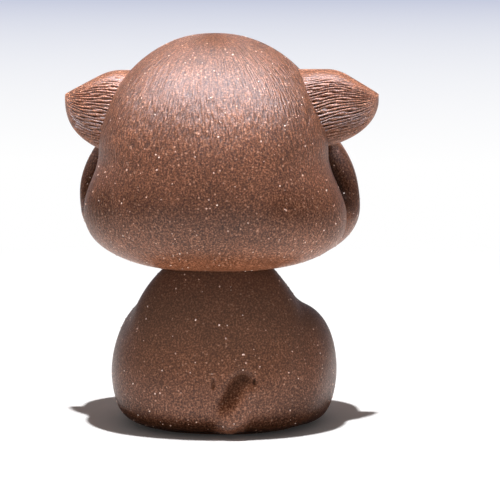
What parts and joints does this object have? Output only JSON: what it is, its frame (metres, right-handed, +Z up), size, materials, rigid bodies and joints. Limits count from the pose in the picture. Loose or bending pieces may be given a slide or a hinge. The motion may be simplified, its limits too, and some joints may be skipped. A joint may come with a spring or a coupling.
{
  "type": "clay kitten tea pet",
  "caption": "Seated kitten figure in unglazed clay with a big round head, ears held sideways, folded haunches and a short tail; a tea-tray ornament that stands on its flat base.",
  "frame": {"origin": "middle of the bounding box at the level of the surface it stands on", "axes": "+Z up; the kitten faces -Y, so its back is towards +Y and its own left side is towards +X"},
  "size_m": [0.064, 0.048, 0.08],
  "materials": {
    "red_stoneware": "unglazed satin with pale sand specks",
    "dark_stoneware": "burnished dark clay"
  },
  "bodies": {
    "root": {"head_back_shell": "red_stoneware", "face_shell": "red_stoneware", "ear_left": "red_stoneware", "ear_right": "red_stoneware", "eye_left": "dark_stoneware", "eye_right": "dark_stoneware", "eyelid_left": "red_stoneware", "eyelid_right": "red_stoneware", "muzzle_pad_left": "red_stoneware", "muzzle_pad_right": "red_stoneware", "nose": "dark_stoneware", "chin": "red_stoneware", "body_back_shell": "red_stoneware", "body_front_shell": "red_stoneware", "base_slab": "red_stoneware", "haunch_left": "red_stoneware", "haunch_right": "red_stoneware", "hind_paw_left": "red_stoneware", "hind_paw_right": "red_stoneware", "foreleg_left": "red_stoneware", "foreleg_right": "red_stoneware", "tail": "red_stoneware"}
  },
  "joints": []
}
